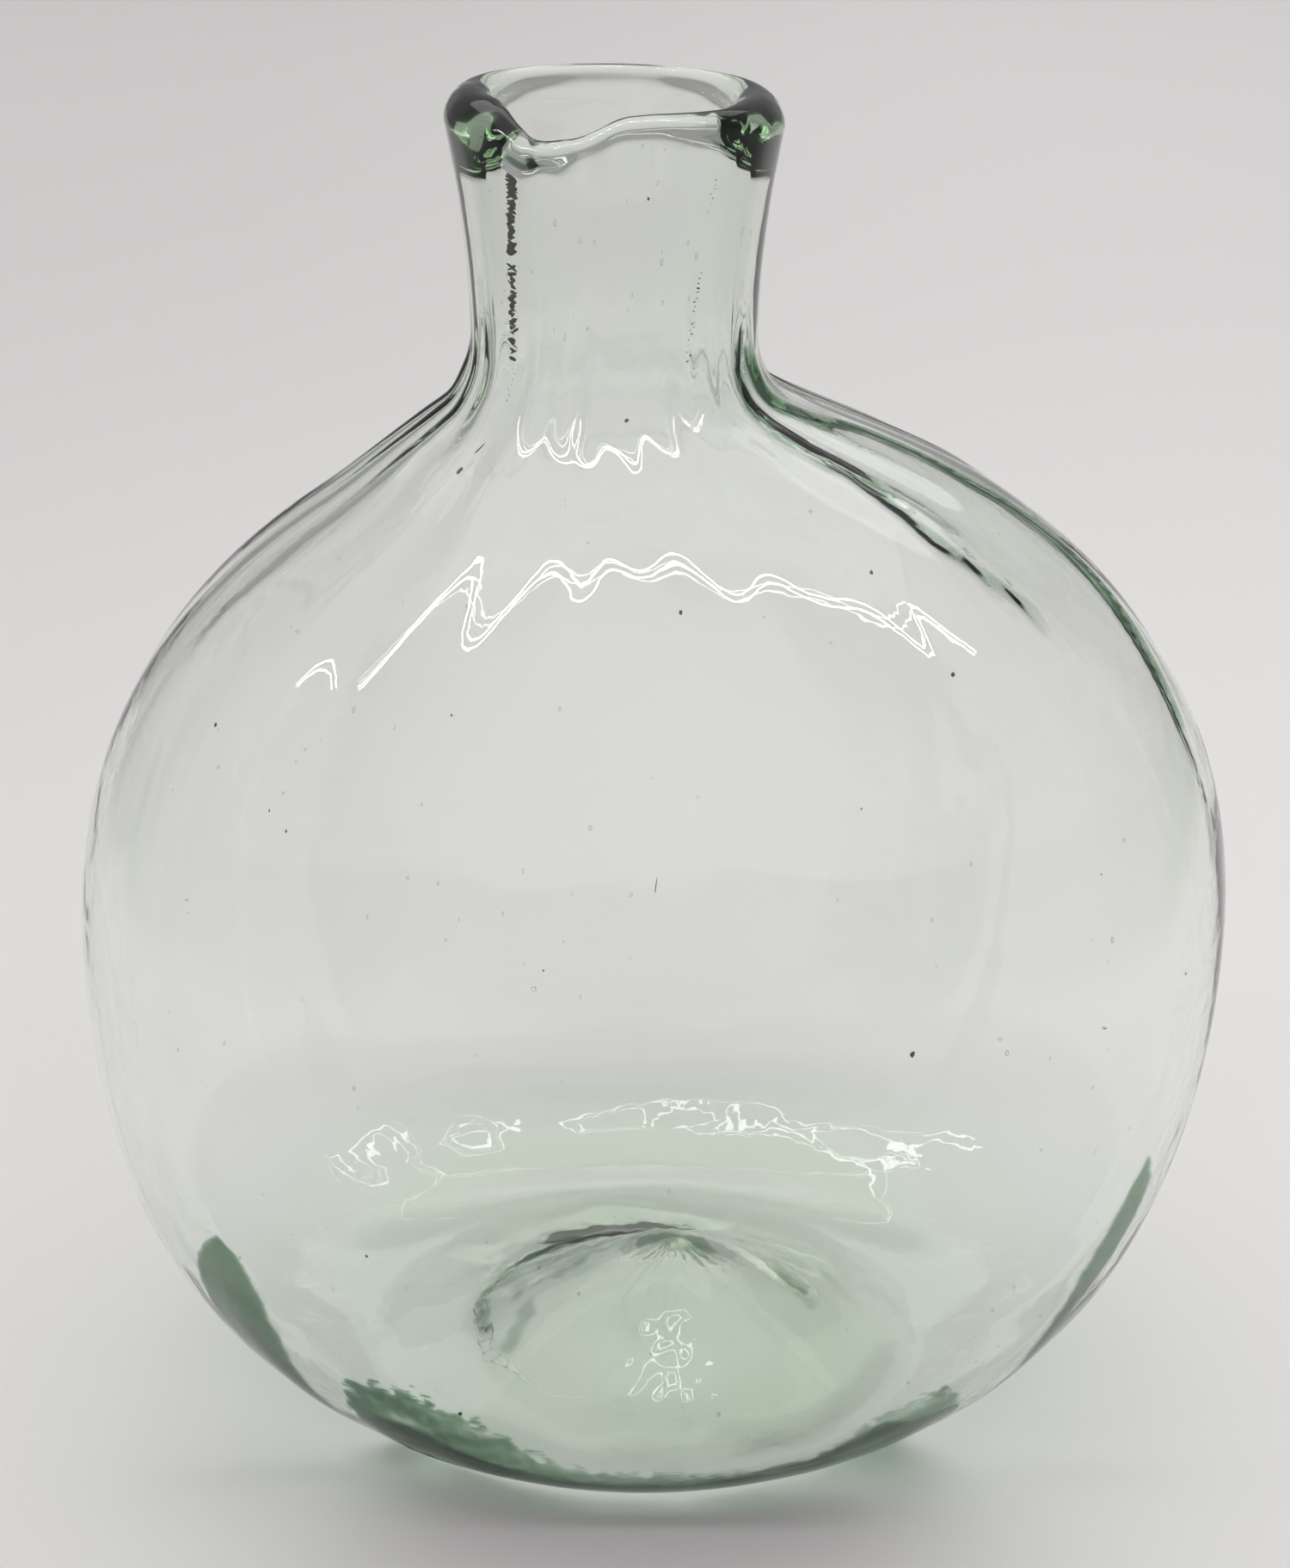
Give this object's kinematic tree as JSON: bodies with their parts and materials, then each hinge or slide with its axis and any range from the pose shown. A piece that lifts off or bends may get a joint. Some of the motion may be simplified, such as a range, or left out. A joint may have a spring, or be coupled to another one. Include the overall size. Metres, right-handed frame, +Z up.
{
  "type": "pocket bottle",
  "caption": "Free-blown pocket bottle of pale green glass: flattened round body, short flared neck with a thick uneven lip, pushed-up base standing on a flat foot ring.",
  "frame": {"origin": "middle of the bottle's outline on the ground that the foot ring stands on", "axes": "+Z up through the mouth, +X to the right across the broad front, +Y from the front to the back through the flattened sides"},
  "size_m": [0.104, 0.0712, 0.1205],
  "materials": {
    "bottle_glass": "fire-polished, clear, pale green",
    "pontil_scar": "broken, rough, pale green"
  },
  "bodies": {
    "root": {"bottle_glass": "bottle_glass", "pontil_scar": "pontil_scar"}
  },
  "joints": []
}
